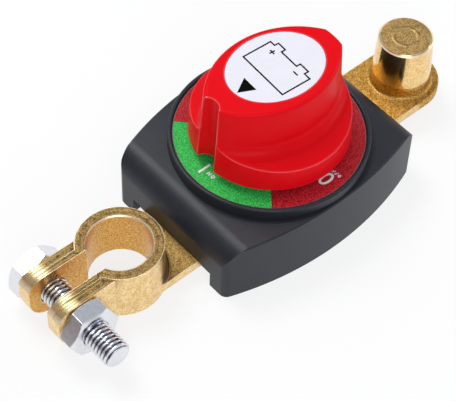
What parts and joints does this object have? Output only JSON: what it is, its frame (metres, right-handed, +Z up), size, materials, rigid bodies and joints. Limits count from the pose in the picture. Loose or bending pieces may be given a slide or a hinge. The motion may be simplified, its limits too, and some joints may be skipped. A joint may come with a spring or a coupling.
{
  "type": "battery disconnect switch",
  "caption": "Battery disconnect switch: rotary knob on a moulded housing, cast brass clamp for a battery post and a cast tapered post for the cable's own clamp.",
  "frame": {"origin": "on the knob's axis, in the plane of the housing's underside", "axes": "+X from the battery clamp towards the cable post, +Z up along the knob's axis"},
  "size_m": [0.1432, 0.057, 0.048],
  "materials": {
    "housing_plastic": "moulded, fine texture, charcoal black",
    "inner_plastic": "moulded, black",
    "screw_steel": "zinc plated",
    "dial_print": "printed, green ON field and dark red OFF field, fine texture",
    "cast_brass": "cast, grainy, partly polished",
    "plated_steel": "bright plated",
    "knob_plastic": "moulded, satin gloss, red",
    "label_film": "pale printed film with a black pictogram",
    "seal_rubber": "black rubber",
    "bridge_copper": "bare copper",
    "spring_steel": "bright steel"
  },
  "bodies": {
    "body": {"housing": "housing_plastic", "base_plate": "inner_plastic", "base_screws": "screw_steel", "terminal_screws": "screw_steel", "dial_plate": "dial_print", "arc_barrier": "inner_plastic", "clamp_terminal": "cast_brass", "post_terminal": "cast_brass", "thrust_washer": "inner_plastic"},
    "knob_group": {"knob": "knob_plastic", "knob_label": "label_film", "knob_washer": "screw_steel", "knob_screw": "screw_steel", "rotor": "inner_plastic", "shaft_seal": "seal_rubber", "contact_bridge": "bridge_copper", "spring_seat": "inner_plastic", "contact_spring": "spring_steel", "detent_ball_1": "spring_steel", "detent_ball_2": "spring_steel", "detent_spring_1": "spring_steel", "detent_spring_2": "spring_steel"},
    "bolt": {"clamp_bolt": "plated_steel"},
    "nut": {"clamp_nut": "plated_steel"}
  },
  "joints": [
    {"name": "knob_turn", "type": "hinge", "parent": "body", "child": "knob_group", "pos_m": [0, 0, 0.0251], "axis": [0, 0, 1], "range_deg": [0, 95]},
    {"name": "bolt_turn", "type": "hinge", "parent": "body", "child": "bolt", "pos_m": [-0.0717, 0, 0.0097], "axis": [0, 1, 0], "range_deg": [0, 1440]},
    {"name": "nut_travel", "type": "slide", "parent": "body", "child": "nut", "axis": [0, -1, 0], "range_m": [0, 0.005]}
  ],
  "couplings": [
    {"joint": "bolt_turn", "follows": "nut_travel", "rad_per_m": 5026.5}
  ]
}
